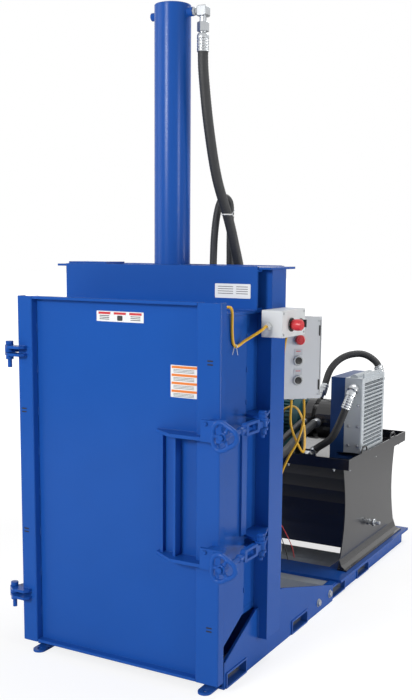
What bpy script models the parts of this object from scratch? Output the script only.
"""Hydraulic drum crusher with a bolted-on power unit, built at full size.

Metres, +Z up. The origin is on the floor under the ram's axis. The door is at
-Y, the power unit at +Y, and the operator's side is +X.
"""

import math

import bmesh
import bpy
from mathutils import Matrix, Vector

# Clearances shared by every piece
GAP = 0.0003
OVERRUN = 0.01
RUNNING = 0.0006
ROUND_SIDES = 32
SMALL_SIDES = 16
THIN_SIDES = 8
SHARP_ANGLE = 35.0
CURVE_STEPS = 24
HEX_SIDES = 6

# Crushing chamber
DOOR_WIDTH = 0.836
DOOR_BOTTOM = 0.041
DOOR_TOP = 1.338
AXIS_TO_DOOR = 0.390
STILE_DEPTH = 0.040
DOOR_GAP = 0.005
CHAMBER_HALF_WIDTH = 0.385
CHAMBER_TOP = 1.290
CHAMBER_BACK = 0.345
CORNER_START_SHARE = 0.46
CORNER_WIDTH_SHARE = 0.70
SHELL_WALL = 0.008

# Base under the chamber
BASE_HALF_WIDTH = 0.406
SIDE_PLATE_THICKNESS = 0.010
SIDE_FRONT_HEIGHT = 0.097
GUSSET_HEIGHT = 0.211
GUSSET_LAND = 0.017
COLUMN_SEAT_HEIGHT = 0.096
SIDE_REAR_HEIGHT = 0.221
SIDE_REAR_LAND = 0.092
SIDE_TAIL_HEIGHT = 0.070
SIDE_TAIL_LENGTH = 0.620
BED_TOP = 0.235
BED_PLATE = 0.025
PEDESTAL_INSET = 0.055
PEDESTAL_SETBACK = 0.025
SOLE_HALF_WIDTH = 0.045

# Fork tubes run across the base, and forks enter from either side
FORK_WIDTH = 0.155
FORK_HEIGHT = 0.056
FORK_WALL = 0.006
FORK_PROUD = 0.004
FRONT_FORK_Y = -0.230
SECOND_FORK_Y = 0.320
THIRD_FORK_Y = 0.767
FOURTH_FORK_Y = 1.075

# Hold-down feet at the two front corners
FOOT_LENGTH = 0.075
FOOT_WIDTH = 0.050
FOOT_THICKNESS = 0.008
FOOT_HOLE = 0.009
FOOT_INSET = 0.048
FOOT_CLEARANCE = 0.002

# Posts and columns
POST_WIDTH = 0.070
POST_DEPTH = 0.165
POST_WALL = 0.006
POST_SKIRT_DROP = 0.085
COLUMN_WIDTH = 0.055
COLUMN_DEPTH = 0.114
COLUMN_WALL = 0.006

# Header over the chamber
HEADER_HALF_LENGTH = 0.408
HEADER_HALF_DEPTH = 0.110
HEADER_TOP = 1.4485
HEADER_FLANGE = 0.042
HEADER_WALL = 0.008
TOP_PLATE_OVERHANG = 0.047
TOP_PLATE_THICKNESS = 0.008
TOP_PLATE_INSET = 0.002
CHAMBER_ROOF = 0.010
PAD_LENGTH = 0.175
PAD_WIDTH = 0.120
PAD_THICKNESS = 0.009
PAD_SETBACK = 0.010

# Ram
BARREL_RADIUS = 0.0665
BARREL_WALL = 0.013
BARREL_TOP = 2.375
BARREL_BOTTOM = 1.262
BARREL_END = 0.035
CAP_RECESS = 0.006
ROD_RADIUS = 0.035
PISTON_HEIGHT = 0.060
STROKE = 0.760
PISTON_MARGIN = 0.030
PORT_DROP = 0.030
PORT_RADIUS = 0.016
PORT_LENGTH = 0.020
STUB_RADIUS = 0.011
STUB_LENGTH = 0.022
SPIGOT_RADIUS = 0.012

# Platen
PLATEN_BOTTOM = 1.140
PLATEN_PLATE = 0.022
PLATEN_RIB_HEIGHT = 0.040
PLATEN_RIB = 0.016
PLATEN_CLEARANCE = 0.011
PLATEN_BOSS_RADIUS = 0.055
PLATEN_RIB_SPREAD_SHARE = 0.55

# Door
HINGE_STILE_WIDTH = 0.065
LATCH_STILE_WIDTH = 0.089
DOOR_SHEET = 0.006
PANEL_RECESS = 0.030
STILE_WALL = 0.006
STILE_BEND = 0.010
RIM_LIP = 0.010

# Hinges
HINGE_AXIS_OUT = 0.039
HINGE_HEIGHTS = (0.226, 1.139)
HINGE_EYE_RADIUS = 0.017
HINGE_PIN_RADIUS = 0.008
LUG_THICKNESS = 0.010
LUG_REACH = 0.080
LUG_PROUD = 0.034
FRAME_LUG_THICKNESS = 0.016
FRAME_LUG_BACK = 0.075
PIN_HEAD_RADIUS = 0.014
PIN_HEAD_HEIGHT = 0.014
PIN_TAIL = 0.030

# Latches
LATCH_HEIGHTS = (0.500, 0.928)
LATCH_OUT = 0.487
LATCH_PIVOT_Y = -0.215
BAR_THICKNESS = 0.012
BAR_DROP = 0.030
BAR_LEFT = 0.165
BAR_TAPER = 0.085
BAR_RIGHT = 0.446
BAR_PROUD = 0.038
UPPER_EAR_LENGTH = 0.055
UPPER_EAR_RISE = 0.028
CATCH_THICKNESS = 0.010
CATCH_LEFT = 0.372
CATCH_RIGHT = 0.450
CATCH_HALF_HEIGHT = 0.036
RIB_THICKNESS = 0.010
OUTER_RIB_X = 0.182
OUTER_RIB_PROUD = 0.016
INNER_RIB_X = 0.245
INNER_RIB_PROUD = 0.038
EAR_THICKNESS = 0.008
EAR_CLEARANCE = 0.0125
EAR_RADIUS = 0.020
EAR_WAIST = 0.050
EAR_RELIEF = 0.009
PIVOT_RADIUS = 0.008
TONGUE_HALF_HEIGHT = 0.0115
TONGUE_RADIUS = 0.017
LINK_START = 0.036
LINK_LENGTH = 0.100
LINK_HALF_HEIGHT = 0.021
LINK_THICKNESS = 0.018
LINK_BAR = 0.009
COLLAR_RADIUS = 0.015
COLLAR_FACE_SHARE = 0.75
COLLAR_GAP = 0.022
SWING_ROD_RADIUS = 0.009
SWING_ROD_REACH = 0.302
WHEEL_REACH = 0.278
WHEEL_RADIUS = 0.044
WHEEL_LOBE = 0.004
WHEEL_LOBES = 3
WHEEL_STEPS = 36
RIM_SIDES = 8
RIM_RADIUS = 0.005
HUB_RADIUS = 0.015
HUB_LENGTH = 0.030
SPOKE_RADIUS = 0.0045
STIFFENER_WIDTH = 0.040
STIFFENER_THICKNESS = 0.008
STIFFENER_END_GAP = 0.003
STIFFENER_SETBACK = 0.002

# Rear skid
SKID_HALF_WIDTH = 0.395
SKID_RAIL = 0.036
SKID_HEIGHT = 0.062
SKID_FRONT = 0.640
SKID_BACK = 1.660
SKID_PLATE = 0.008
SKID_PLATE_OUT = 0.020
SKID_PAN_FRONT = 0.750
SKID_WINDOW_HALF_WIDTH = 0.300
SKID_WINDOW_FRONT = 0.900
SKID_WINDOW_BACK = 1.600
SKID_CROSS = 0.040

# Oil tank
TANK_FRONT = 0.900
TANK_BACK = 1.620
TANK_HALF_WIDTH = 0.355
TANK_BOTTOM = 0.165
TANK_TOP = 0.538
TANK_WAIST = 0.042
TANK_SIDE = 0.006
TANK_FOOT_FLARE = 0.030
TANK_FLANGE_OUT = 0.038
TANK_SIDE_STEPS = 8
TANK_RIB_OUT_SHARES = (0.8, 0.25)
TANK_RIB_RISE_SHARES = (3, 9)
TANK_FLANGE = 0.006
LID_OVERHANG = 0.040
LID_THICKNESS = 0.006
LID_LIP = 0.048
LID_WALL = 0.005
HANDLE_RISE = 0.034
HANDLE_WIDTH = 0.085
HANDLE_SLOT_WIDTH = 0.055
HANDLE_SLOT_HEIGHT = 0.016
HANDLE_SHOULDER_SHARE = 0.75
HANDLE_SHOULDER_RISE_SHARE = 0.7
HANDLE_TOP_SHARE = 0.45
HANDLE_SLOT_RISE_SHARE = 0.4

# Motor, pump and cooler on the tank
MOTOR_Y = 1.215
MOTOR_RADIUS = 0.095
MOTOR_FIN = 0.014
MOTOR_LEFT = -0.255
MOTOR_LENGTH = 0.300
MOTOR_AXIS_RISE = 0.150
MOTOR_FOOT_WIDTH = 0.150
MOTOR_FOOT_LENGTH = 0.200
MOTOR_FIN_COUNT = 20
MOTOR_FIN_SHARE = 0.45
MOTOR_FIN_SLOPE_SHARE = 0.05
MOTOR_FOOT_RISE_SHARE = 0.8
TERMINAL_BOX_SIZE = 0.080
TERMINAL_BOX_RISE = 0.050
BELL_RADIUS = 0.100
BELL_LENGTH = 0.055
BELL_MOUTH_SHARE = 0.7
BELL_SLOPE_SHARE = 0.3
COVER_RADIUS = 0.098
COVER_NECK_SHARE = 0.8
COVER_SLOPE_SHARES = (0.3, 0.4)
SHROUD_FRONT = 1.060
SHROUD_WIDTH = 0.290
SHROUD_BOTTOM = 0.030
SHROUD_HEIGHT = 0.350
SHROUD_LEFT = 0.222
SHROUD_THICKNESS = 0.068
SHROUD_FOOT = 0.012
COOLER_THICKNESS = 0.088
COOLER_HEADER = 0.022
COOLER_CAP = 0.020
COOLER_FIN_COUNT = 17
COOLER_FIN_GAP = 0.006
COOLER_FIN_DEPTH = 0.020
COOLER_RISE = 0.020
COOLER_PIPE_SHARE = 0.4
COOLER_PIPE_END_SHARE = 3
COOLER_PORT_SHARE = 0.55
COOLER_PORT_DROP_SHARE = 2.6
COOLER_PORT_RADIUS_SHARE = 1.3
FITTING_RADIUS = 0.017
BREATHER_RADIUS = 0.022
BREATHER_HEIGHT = 0.050
BREATHER_PLACE_SHARE = 0.75
BREATHER_SETBACK_SHARE = 4
BREATHER_PROFILE_SHARES = ((0.7, 0), (0.7, 0.4), (1, 0.45), (1, 0.9), (0.85, 1))
PUMP_PORT_RADIUS = 0.021
PUMP_PORT_LENGTH = 0.018
RETURN_PORT_OUT = 0.030
MAIN_PORT_OUT = 0.094
VALVE_RADIUS = 0.012
VALVE_LENGTH = 0.060
VALVE_PROFILE_SHARES = ((1, 0), (1, 0.3), (1.5, 0.35), (1.5, 0.55), (0.8, 0.6), (0.8, 1))
VALVE_Y = 1.250
VALVE_Z = 0.205

# Electrical enclosure, turned towards the operator
BOX_TURN = 45.0
BOX_WIDTH = 0.200
BOX_HEIGHT = 0.320
BOX_DEPTH = 0.130
BOX_BOTTOM = 0.915
BOX_FACE_X = 0.318
BOX_FACE_Y = 0.455
BOX_WALL = 0.004
BOX_LID = 0.016
BOX_LID_MARGIN = 0.006
BOX_GLAND_PLACE_SHARE = 0.55
BOX_GLAND_DEPTH_SHARE = 0.5
BUTTON_RADIUS = 0.014
BUTTON_LENGTH = 0.014
BUTTON_TRAVEL = 0.005
BUTTON_COLLAR = 0.018
BUTTON_COLLAR_LENGTH = 0.006
ESTOP_RISE = 0.235
START_RISE = 0.150
STOP_RISE = 0.070
MUSHROOM_RADIUS = 0.020
MUSHROOM_HEAD = 0.016
MUSHROOM_STEM = 0.024
MUSHROOM_FACE_SHARE = 0.8
MUSHROOM_SLOPE_SHARES = (0.3, 0.8)
ARM_THICKNESS = 0.008
ARM_HEIGHT = 0.180
ARM_RISE = 0.070
ARM_RUN_SHARE = 8

# Pendant station on the right-hand column
PENDANT_WIDTH = 0.078
PENDANT_DEPTH = 0.190
PENDANT_HEIGHT = 0.093
PENDANT_BOTTOM = 1.212
PENDANT_FRONT = -0.140
PENDANT_EDGE = 0.004
PENDANT_GAP = GAP * 4
PENDANT_GLAND_SHARE = 0.35
PENDANT_GLAND_RISE_SHARE = 0.42
PENDANT_BUTTON_RISE_SHARE = 0.45
PENDANT_MUSHROOM_SHARE = 0.38
PENDANT_SELECTOR_SHARE = 0.80
PENDANT_HEAD_FACE_SHARE = 0.9
PENDANT_HEAD_LENGTH_SHARE = 2.4
GLAND_RADIUS = 0.011
GLAND_LENGTH = 0.018
SELECTOR_RADIUS = 0.011
SELECTOR_LENGTH = 0.022
SELECTOR_GRIP_SHARE = 1.2

# Hoses and cables
MAIN_HOSE_RADIUS = 0.019
RETURN_HOSE_RADIUS = 0.014
COOLER_HOSE_RADIUS = 0.017
CABLE_RADIUS = 0.0050
CONDUCTOR_RADIUS = 0.0020
CABLE_CLEARANCE = 0.001
HOSE_CLEARANCE = 0.010
CONDUCTOR_NECK_SHARE = 0.9
CONDUCTOR_SPREADS = (0.020, 0.040, 0.060)
CONDUCTOR_LENGTHS = (0.150, 0.190, 0.180)
CONDUCTOR_BEND_SHARES = (0.5, 0.3, -0.45)
CONDUCTOR_TIP_SHARES = (0.5, 0.6, -0.55)
ELBOW_OUT = 0.059
ELBOW_DROP = 0.095
ELBOW_ACROSS_SHARE = 0.8
ELBOW_DOWN_SHARE = 0.9
ELBOW_NUT_SHARES = (0.45, 0.2)
FERRULE_RADIUS = 0.022
FERRULE_LENGTH = 0.042
DIAMETERS_PER_POINT = 2.6
LEAD_SHARE = 0.8

BLUE = ((0.030, 0.110, 0.420), 0.35, 0.0)
BLACK = ((0.020, 0.020, 0.022), 0.40, 0.0)
GREY = ((0.560, 0.580, 0.590), 0.45, 0.0)
STEEL = ((0.620, 0.630, 0.640), 0.30, 1.0)
ZINC = ((0.380, 0.400, 0.420), 0.45, 0.6)
ALUMINIUM = ((0.560, 0.590, 0.610), 0.45, 0.3)
TEAL = ((0.020, 0.160, 0.160), 0.45, 0.0)
NAVY = ((0.010, 0.050, 0.160), 0.40, 0.0)
YELLOW = ((0.850, 0.480, 0.010), 0.45, 0.0)
RED = ((0.700, 0.050, 0.060), 0.40, 0.0)
RUBBER = ((0.030, 0.030, 0.030), 0.70, 0.0)

AXES = {"x": (1, 2, 0), "y": (0, 2, 1), "z": (0, 1, 2)}


# Mesh helpers

def clear_scene():
    """Remove whatever the file opened with."""
    for item in list(bpy.data.objects):
        bpy.data.objects.remove(item, do_unlink=True)


def paint(item, look):
    """Give a piece its own Principled material."""
    colour, roughness, metallic = look
    material = bpy.data.materials.new(item.name + "_finish")
    material.use_nodes = True
    shader = material.node_tree.nodes["Principled BSDF"]
    shader.inputs["Base Color"].default_value = (*colour, 1.0)
    shader.inputs["Roughness"].default_value = roughness
    shader.inputs["Metallic"].default_value = metallic
    item.data.materials.clear()
    item.data.materials.append(material)
    return item


def to_object(bm, name="piece"):
    """Turn a bmesh into an object with its faces pointing out."""
    bmesh.ops.recalc_face_normals(bm, faces=bm.faces)
    mesh = bpy.data.meshes.new(name)
    bm.to_mesh(mesh)
    bm.free()
    item = bpy.data.objects.new(name, mesh)
    bpy.context.scene.collection.objects.link(item)
    return item


def prism(outline, axis, low, high):
    """Extrude a closed outline along an axis, from low to high."""
    first, second, along = AXES[axis]
    bm = bmesh.new()
    corners = []
    for u, v in outline:
        point = [0.0, 0.0, 0.0]
        point[first], point[second], point[along] = u, v, low
        corners.append(bm.verts.new(point))
    face = bm.faces.new(corners)
    grown = bmesh.ops.extrude_face_region(bm, geom=[face])
    moved = [part for part in grown["geom"] if isinstance(part, bmesh.types.BMVert)]
    shift = Vector((0.0, 0.0, 0.0))
    shift[along] = high - low
    bmesh.ops.translate(bm, verts=moved, vec=shift)
    return to_object(bm)


def block(low, high):
    """A box between two corners."""
    outline = [(low[0], low[1]), (high[0], low[1]), (high[0], high[1]), (low[0], high[1])]
    return prism(outline, "z", low[2], high[2])


def rod(start, end, radius, sides=SMALL_SIDES):
    """A round bar between two points."""
    start, end = Vector(start), Vector(end)
    bm = bmesh.new()
    turn = (end - start).to_track_quat("Z", "Y").to_matrix().to_4x4()
    place = Matrix.Translation((start + end) / 2) @ turn
    bmesh.ops.create_cone(bm, cap_ends=True, segments=sides, radius1=radius,
                          radius2=radius, depth=(end - start).length, matrix=place)
    return to_object(bm)


def turned(profile, axis, centre, sides=ROUND_SIDES):
    """Spin a closed profile of (radius, height) points round an axis."""
    first, second, along = AXES[axis]
    bm = bmesh.new()
    rings = []
    for radius, height in profile:
        ring = []
        for step in range(sides if radius > 0 else 1):
            angle = 2 * math.pi * step / sides
            point = list(centre)
            point[first] += radius * math.cos(angle)
            point[second] += radius * math.sin(angle)
            point[along] += height
            ring.append(bm.verts.new(point))
        rings.append(ring)
    hollow = all(radius > 0 for radius, _ in profile)
    pairs = list(zip(rings, rings[1:]))
    if hollow:
        pairs.append((rings[-1], rings[0]))
    for near, far in pairs:
        for step in range(sides):
            after = (step + 1) % sides
            corners = [near[step % len(near)], near[after % len(near)],
                       far[after % len(far)], far[step % len(far)]]
            unique = list(dict.fromkeys(corners))
            if len(unique) > 2:
                bm.faces.new(unique)
    return to_object(bm)


def bake(item):
    """Apply an object's modifiers."""
    graph = bpy.context.evaluated_depsgraph_get()
    mesh = bpy.data.meshes.new_from_object(item.evaluated_get(graph))
    item.modifiers.clear()
    item.data = mesh


def combine(operation, item, others):
    """Join others to item, or cut them from it, and remove them."""
    for other in others:
        modifier = item.modifiers.new(operation, "BOOLEAN")
        modifier.operation = operation
        modifier.solver = "EXACT"
        modifier.object = other
        bake(item)
        bpy.data.objects.remove(other, do_unlink=True)
    return item


def join(item, *others):
    return combine("UNION", item, others)


def cut(item, *others):
    return combine("DIFFERENCE", item, others)


def round_edges(item, width, segments, test):
    """Bevel the edges whose two end points pass a test."""
    bm = bmesh.new()
    bm.from_mesh(item.data)
    edges = [edge for edge in bm.edges if test(edge.verts[0].co, edge.verts[1].co)]
    bmesh.ops.bevel(bm, geom=edges, offset=width, segments=segments, profile=0.5,
                    affect="EDGES")
    bm.to_mesh(item.data)
    bm.free()
    return item


def finish(item, name, look, pivot=(0.0, 0.0, 0.0)):
    """Name a piece, paint it, and put its origin on its pivot."""
    item.name = name
    item.data.name = name
    pivot = Vector(pivot)
    item.data.transform(Matrix.Translation(-pivot))
    item.location = pivot
    paint(item, look)
    item.data.shade_smooth()
    item.data.set_sharp_from_angle(angle=math.radians(SHARP_ANGLE))
    return item


def mirror_outline(outline):
    """The other half of an outline that is the same on both sides of x = 0."""
    return outline + [(-x, y) for x, y in reversed(outline)]


def arc(centre, radius, start, end, steps):
    """Points along an arc, angles in degrees."""
    angles = [math.radians(start + (end - start) * n / steps) for n in range(steps + 1)]
    return [(centre[0] + radius * math.cos(a), centre[1] + radius * math.sin(a))
            for a in angles]


def channel(low, high, wall, axis, open_side):
    """A folded channel: a box with one side open, run along an axis."""
    solid = block(low, high)
    inner_low = [value + wall for value in low]
    inner_high = [value - wall for value in high]
    along = "xyz".index(axis)
    inner_low[along] = low[along] - OVERRUN
    inner_high[along] = high[along] + OVERRUN
    side, direction = open_side
    if direction > 0:
        inner_high[side] = high[side] + OVERRUN
    else:
        inner_low[side] = low[side] - OVERRUN
    return cut(solid, block(inner_low, inner_high))


def smooth_route(route, spacing):
    """Read evenly spaced points from a smooth curve through a route."""
    points = [Vector(p) for p in route]
    padded = [2 * points[0] - points[1], *points, 2 * points[-1] - points[-2]]
    fine = []
    steps = CURVE_STEPS
    for before, start, end, after in zip(padded, padded[1:], padded[2:], padded[3:]):
        for n in range(steps):
            t = n / steps
            fine.append(0.5 * (2 * start + (end - before) * t
                               + (2 * before - 5 * start + 4 * end - after) * t * t
                               + (3 * start - before - 3 * end + after) * t ** 3))
    fine.append(points[-1])
    total = sum((b - a).length for a, b in zip(fine, fine[1:]))
    count = max(2, round(total / spacing))
    even, walked, target = [fine[0]], 0.0, total / count
    for a, b in zip(fine, fine[1:]):
        step = (b - a).length
        while step > 0 and walked + step >= target - 1e-9 and len(even) < count:
            even.append(a.lerp(b, (target - walked) / step))
            target += total / count
        walked += step
    even.append(fine[-1])
    return even


def tube(name, route, radius, look):
    """A hose or cable along a smooth route, with closed ends."""
    spacing = 2 * radius * DIAMETERS_PER_POINT
    points = smooth_route(route, spacing)
    for place, end, inner in ((1, route[0], route[1]), (-1, route[-1], route[-2])):
        lead = (Vector(inner) - Vector(end)).normalized() * radius * LEAD_SHARE
        points.insert(place, Vector(end) + lead)
    curve = bpy.data.curves.new(name, "CURVE")
    curve.dimensions = "3D"
    curve.bevel_depth = radius
    curve.bevel_resolution = 2
    curve.use_fill_caps = True
    spline = curve.splines.new("POLY")
    spline.points.add(len(points) - 1)
    for target, point in zip(spline.points, points):
        target.co = (*point, 1.0)
    item = bpy.data.objects.new(name, curve)
    bpy.context.scene.collection.objects.link(item)
    return paint(item, look)


# Places that several pieces share

DOOR_FRONT = -AXIS_TO_DOOR
DOOR_BACK = DOOR_FRONT + STILE_DEPTH
POST_FRONT = DOOR_BACK + DOOR_GAP
POST_BACK = POST_FRONT + POST_DEPTH
DOOR_HALF = DOOR_WIDTH / 2
PANEL_FACE = DOOR_FRONT + PANEL_RECESS
HINGE_X = -(DOOR_HALF + HINGE_AXIS_OUT)
HINGE_Y = DOOR_FRONT
COLUMN_OUT = CHAMBER_HALF_WIDTH + GAP + COLUMN_WIDTH
CORNER_START = CHAMBER_BACK * CORNER_START_SHARE
CORNER_WIDTH = CHAMBER_HALF_WIDTH * CORNER_WIDTH_SHARE
ROOF_TOP = CHAMBER_TOP + GAP + CHAMBER_ROOF
BORE_RADIUS = BARREL_RADIUS - BARREL_WALL
FORK_CENTRES = (FRONT_FORK_Y, SECOND_FORK_Y, THIRD_FORK_Y, FOURTH_FORK_Y)
SKID_TOP = SKID_HEIGHT + SKID_PLATE
LID_TOP = TANK_TOP + GAP + LID_THICKNESS
PUMP_PORT_FACE = MOTOR_Y - COVER_RADIUS - PUMP_PORT_LENGTH
PUMP_START = MOTOR_LEFT + MOTOR_LENGTH + GAP
BOX_ANGLE = math.radians(BOX_TURN)
BOX_TURNED = Matrix.Translation((BOX_FACE_X, BOX_FACE_Y, BOX_BOTTOM)) @ Matrix.Rotation(
    BOX_ANGLE, 4, "Z")


# Base

def side_plate(side):
    """One side of the base: gusset in front, notch for the column, long tail."""
    front = POST_FRONT + PEDESTAL_SETBACK
    half_column = COLUMN_DEPTH / 2 + GAP
    tail = SIDE_REAR_LAND + half_column
    outline = [
        (front, 0), (front, SIDE_FRONT_HEIGHT),
        (-half_column - GUSSET_LAND, GUSSET_HEIGHT), (-half_column, GUSSET_HEIGHT),
        (-half_column, COLUMN_SEAT_HEIGHT - GAP), (half_column, COLUMN_SEAT_HEIGHT - GAP),
        (half_column, SIDE_REAR_HEIGHT), (tail, SIDE_REAR_HEIGHT),
        (half_column + SIDE_TAIL_LENGTH, SIDE_TAIL_HEIGHT),
        (half_column + SIDE_TAIL_LENGTH, 0),
    ]
    inner, outer = BASE_HALF_WIDTH - SIDE_PLATE_THICKNESS, BASE_HALF_WIDTH
    low, high = (inner, outer) if side > 0 else (-outer, -inner)
    plate = prism(outline, "x", low, high)
    for centre in FORK_CENTRES[:2]:
        plate = cut(plate, block(
            (low - OVERRUN, centre - FORK_WIDTH / 2 - GAP, -OVERRUN),
            (high + OVERRUN, centre + FORK_WIDTH / 2 + GAP, FORK_HEIGHT + GAP)))
    foot_x = side * (BASE_HALF_WIDTH - FOOT_INSET)
    back = FRONT_FORK_Y - FORK_WIDTH / 2 - FOOT_CLEARANCE
    tip = front - FOOT_LENGTH
    half = FOOT_WIDTH / 2
    foot = [(foot_x + half, back), (foot_x - half, back),
            *arc((foot_x, tip + half), half, 180, 360, 8)]
    tab = prism(foot, "z", 0, FOOT_THICKNESS)
    tab = cut(tab, rod((foot_x, tip + half, -OVERRUN),
                       (foot_x, tip + half, FOOT_THICKNESS + OVERRUN), FOOT_HOLE))
    reach = block((min(foot_x, side * outer), front, 0),
                  (max(foot_x, side * outer), back, FOOT_THICKNESS))
    bridge = join(tab, reach)
    plate = join(plate, bridge)
    name = "base_side_right" if side > 0 else "base_side_left"
    return finish(plate, name, BLUE)


def fork_tube(number):
    """A rectangular tube that a fork enters from either side."""
    centre = FORK_CENTRES[number]
    half = FORK_WIDTH / 2
    end = (BASE_HALF_WIDTH if number < 2 else SKID_HALF_WIDTH) + FORK_PROUD
    shell = block((-end, centre - half, 0), (end, centre + half, FORK_HEIGHT))
    inside = block((-end - OVERRUN, centre - half + FORK_WALL, FORK_WALL),
                   (end + OVERRUN, centre + half - FORK_WALL, FORK_HEIGHT - FORK_WALL))
    return finish(cut(shell, inside), f"fork_tube_{number + 1}", ZINC)


def chamber_bed():
    """The anvil: a thick plate on a pedestal over the fork tubes, its sole on the floor."""
    plate = prism(mirror_outline([
        (CHAMBER_HALF_WIDTH - GAP, POST_FRONT), (CHAMBER_HALF_WIDTH - GAP, CORNER_START),
        (CORNER_WIDTH, CHAMBER_BACK)]), "z", BED_TOP - BED_PLATE, BED_TOP)
    half = CHAMBER_HALF_WIDTH - PEDESTAL_INSET
    pedestal = block((-half, POST_FRONT + PEDESTAL_SETBACK, FORK_HEIGHT + GAP),
                     (half, CORNER_START, BED_TOP - BED_PLATE / 2))
    tail = block((-CORNER_WIDTH, CORNER_START - OVERRUN, FORK_HEIGHT + GAP),
                 (CORNER_WIDTH, CHAMBER_BACK - PEDESTAL_SETBACK, BED_TOP - BED_PLATE / 2))
    sole = block((-half, -SOLE_HALF_WIDTH, 0), (half, SOLE_HALF_WIDTH, FORK_HEIGHT + OVERRUN))
    return finish(join(plate, pedestal, tail, sole), "chamber_bed", BLUE)


def shell_outline(inset, front):
    """The chamber wall's path in plan, set in from its outer face."""
    slope = math.hypot(CHAMBER_HALF_WIDTH - CORNER_WIDTH, CHAMBER_BACK - CORNER_START)
    run = (CHAMBER_BACK - CORNER_START) / slope
    rise = (CHAMBER_HALF_WIDTH - CORNER_WIDTH) / slope
    side = CHAMBER_HALF_WIDTH - inset
    back = CHAMBER_BACK - inset
    corner_y = CORNER_START - inset * (1 - run) / rise
    corner_x = CORNER_WIDTH - inset * (1 - rise) / run
    return [(side, front), (side, corner_y), (corner_x, back)]


def chamber_shell():
    """The chamber's back and sides, one bent plate with canted corners."""
    start = POST_BACK + GAP
    outer = prism(mirror_outline(shell_outline(0.0, start)), "z", BED_TOP + GAP, CHAMBER_TOP)
    inner = prism(mirror_outline(shell_outline(SHELL_WALL, start - OVERRUN)), "z",
                  BED_TOP - OVERRUN, CHAMBER_TOP + OVERRUN)
    return finish(cut(outer, inner), "chamber_shell", BLUE)


def front_post(side):
    """A channel post beside the door, with a skirt behind the gusset."""
    outer = BASE_HALF_WIDTH
    inner = outer - POST_WIDTH
    low, high = (inner, outer) if side > 0 else (-outer, -inner)
    bottom = BED_TOP + GAP
    open_side = (0, -side)
    post = channel((low, POST_FRONT, bottom), (high, POST_BACK, CHAMBER_TOP), POST_WALL, "z",
                   open_side)
    skirt_in = CHAMBER_HALF_WIDTH + GAP
    skirt_low, skirt_high = (skirt_in, outer) if side > 0 else (-outer, -skirt_in)
    web_in = outer - POST_WALL
    top = bottom + OVERRUN
    thin_low, thin_high = (web_in, outer) if side > 0 else (-outer, -web_in)
    skirt = prism([(POST_FRONT, bottom - POST_SKIRT_DROP), (POST_FRONT, top),
                   (POST_BACK, top), (POST_BACK, bottom)], "x", thin_low, thin_high)
    plate_in = BASE_HALF_WIDTH - SIDE_PLATE_THICKNESS
    room_low, room_high = (plate_in - GAP, outer + OVERRUN) if side > 0 else (
        -outer - OVERRUN, -plate_in + GAP)
    front = POST_FRONT + PEDESTAL_SETBACK
    half_column = COLUMN_DEPTH / 2 + GAP
    slope = [(front - GAP, -OVERRUN), (front - GAP, SIDE_FRONT_HEIGHT + GAP),
             (-half_column - GUSSET_LAND, GUSSET_HEIGHT + GAP), (POST_BACK + OVERRUN * 10, -OVERRUN)]
    skirt = cut(skirt, prism(slope, "x", room_low, room_high))
    post = join(post, skirt)
    if side > 0:
        return finish(join(post, latch_stiffener()), "front_post_right", BLUE)
    for number in range(len(HINGE_HEIGHTS)):
        post = join(post, hinge_lug(number))
    return finish(post, "front_post_left", BLUE)


def column(side):
    """The channel that ties the header to the base, open towards the chamber."""
    inner, outer = CHAMBER_HALF_WIDTH + GAP, COLUMN_OUT
    low, high = (inner, outer) if side > 0 else (-outer, -inner)
    top = HEADER_TOP - TOP_PLATE_THICKNESS - GAP
    item = channel((low, -COLUMN_DEPTH / 2, COLUMN_SEAT_HEIGHT), (high, COLUMN_DEPTH / 2, top),
                   COLUMN_WALL, "z", (0, -side))
    if side > 0:
        item = join(item, pendant_boss())
    name = "column_right" if side > 0 else "column_left"
    return finish(item, name, BLUE)


def pendant_boss():
    """A pad on the right-hand column that the pendant station bolts to."""
    rise = PENDANT_HEIGHT / 4
    centre = PENDANT_BOTTOM + PENDANT_HEIGHT / 2
    return block((COLUMN_OUT - COLUMN_WALL / 2, -COLUMN_DEPTH / 4, centre - rise),
                 (COLUMN_OUT + GAP * 3, COLUMN_DEPTH / 4, centre + rise))


def chamber_roof():
    """The plate over the chamber, notched for the columns and bored for the ram."""
    outline = mirror_outline([
        (BASE_HALF_WIDTH, POST_FRONT), (BASE_HALF_WIDTH, -COLUMN_DEPTH / 2 - GAP),
        (CHAMBER_HALF_WIDTH, -COLUMN_DEPTH / 2 - GAP), (CHAMBER_HALF_WIDTH, CORNER_START),
        (CORNER_WIDTH, CHAMBER_BACK)])
    plate = prism(outline, "z", CHAMBER_TOP + GAP, ROOF_TOP)
    bore = rod((0, 0, CHAMBER_TOP - OVERRUN), (0, 0, ROOF_TOP + OVERRUN), BARREL_RADIUS + GAP,
               ROUND_SIDES)
    return finish(cut(plate, bore), "chamber_roof", BLUE)


def header_channel(side):
    """A deep channel on each side of the ram, flanges inwards."""
    outer, inner = HEADER_HALF_DEPTH, HEADER_HALF_DEPTH - HEADER_FLANGE
    low, high = (inner, outer) if side > 0 else (-outer, -inner)
    item = channel((-HEADER_HALF_LENGTH, low, ROOF_TOP + GAP),
                   (HEADER_HALF_LENGTH, high, HEADER_TOP - TOP_PLATE_THICKNESS - GAP),
                   HEADER_WALL, "x", (1, -side))
    web_low, web_high = (outer - HEADER_WALL, outer) if side > 0 else (
        -outer, -outer + HEADER_WALL)
    lip = block((-HEADER_HALF_LENGTH, web_low, HEADER_TOP - TOP_PLATE_THICKNESS - OVERRUN),
                (HEADER_HALF_LENGTH, web_high, HEADER_TOP + TOP_PLATE_INSET))
    name = "header_rear_channel" if side > 0 else "header_front_channel"
    return finish(join(item, lip), name, BLUE)


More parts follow.
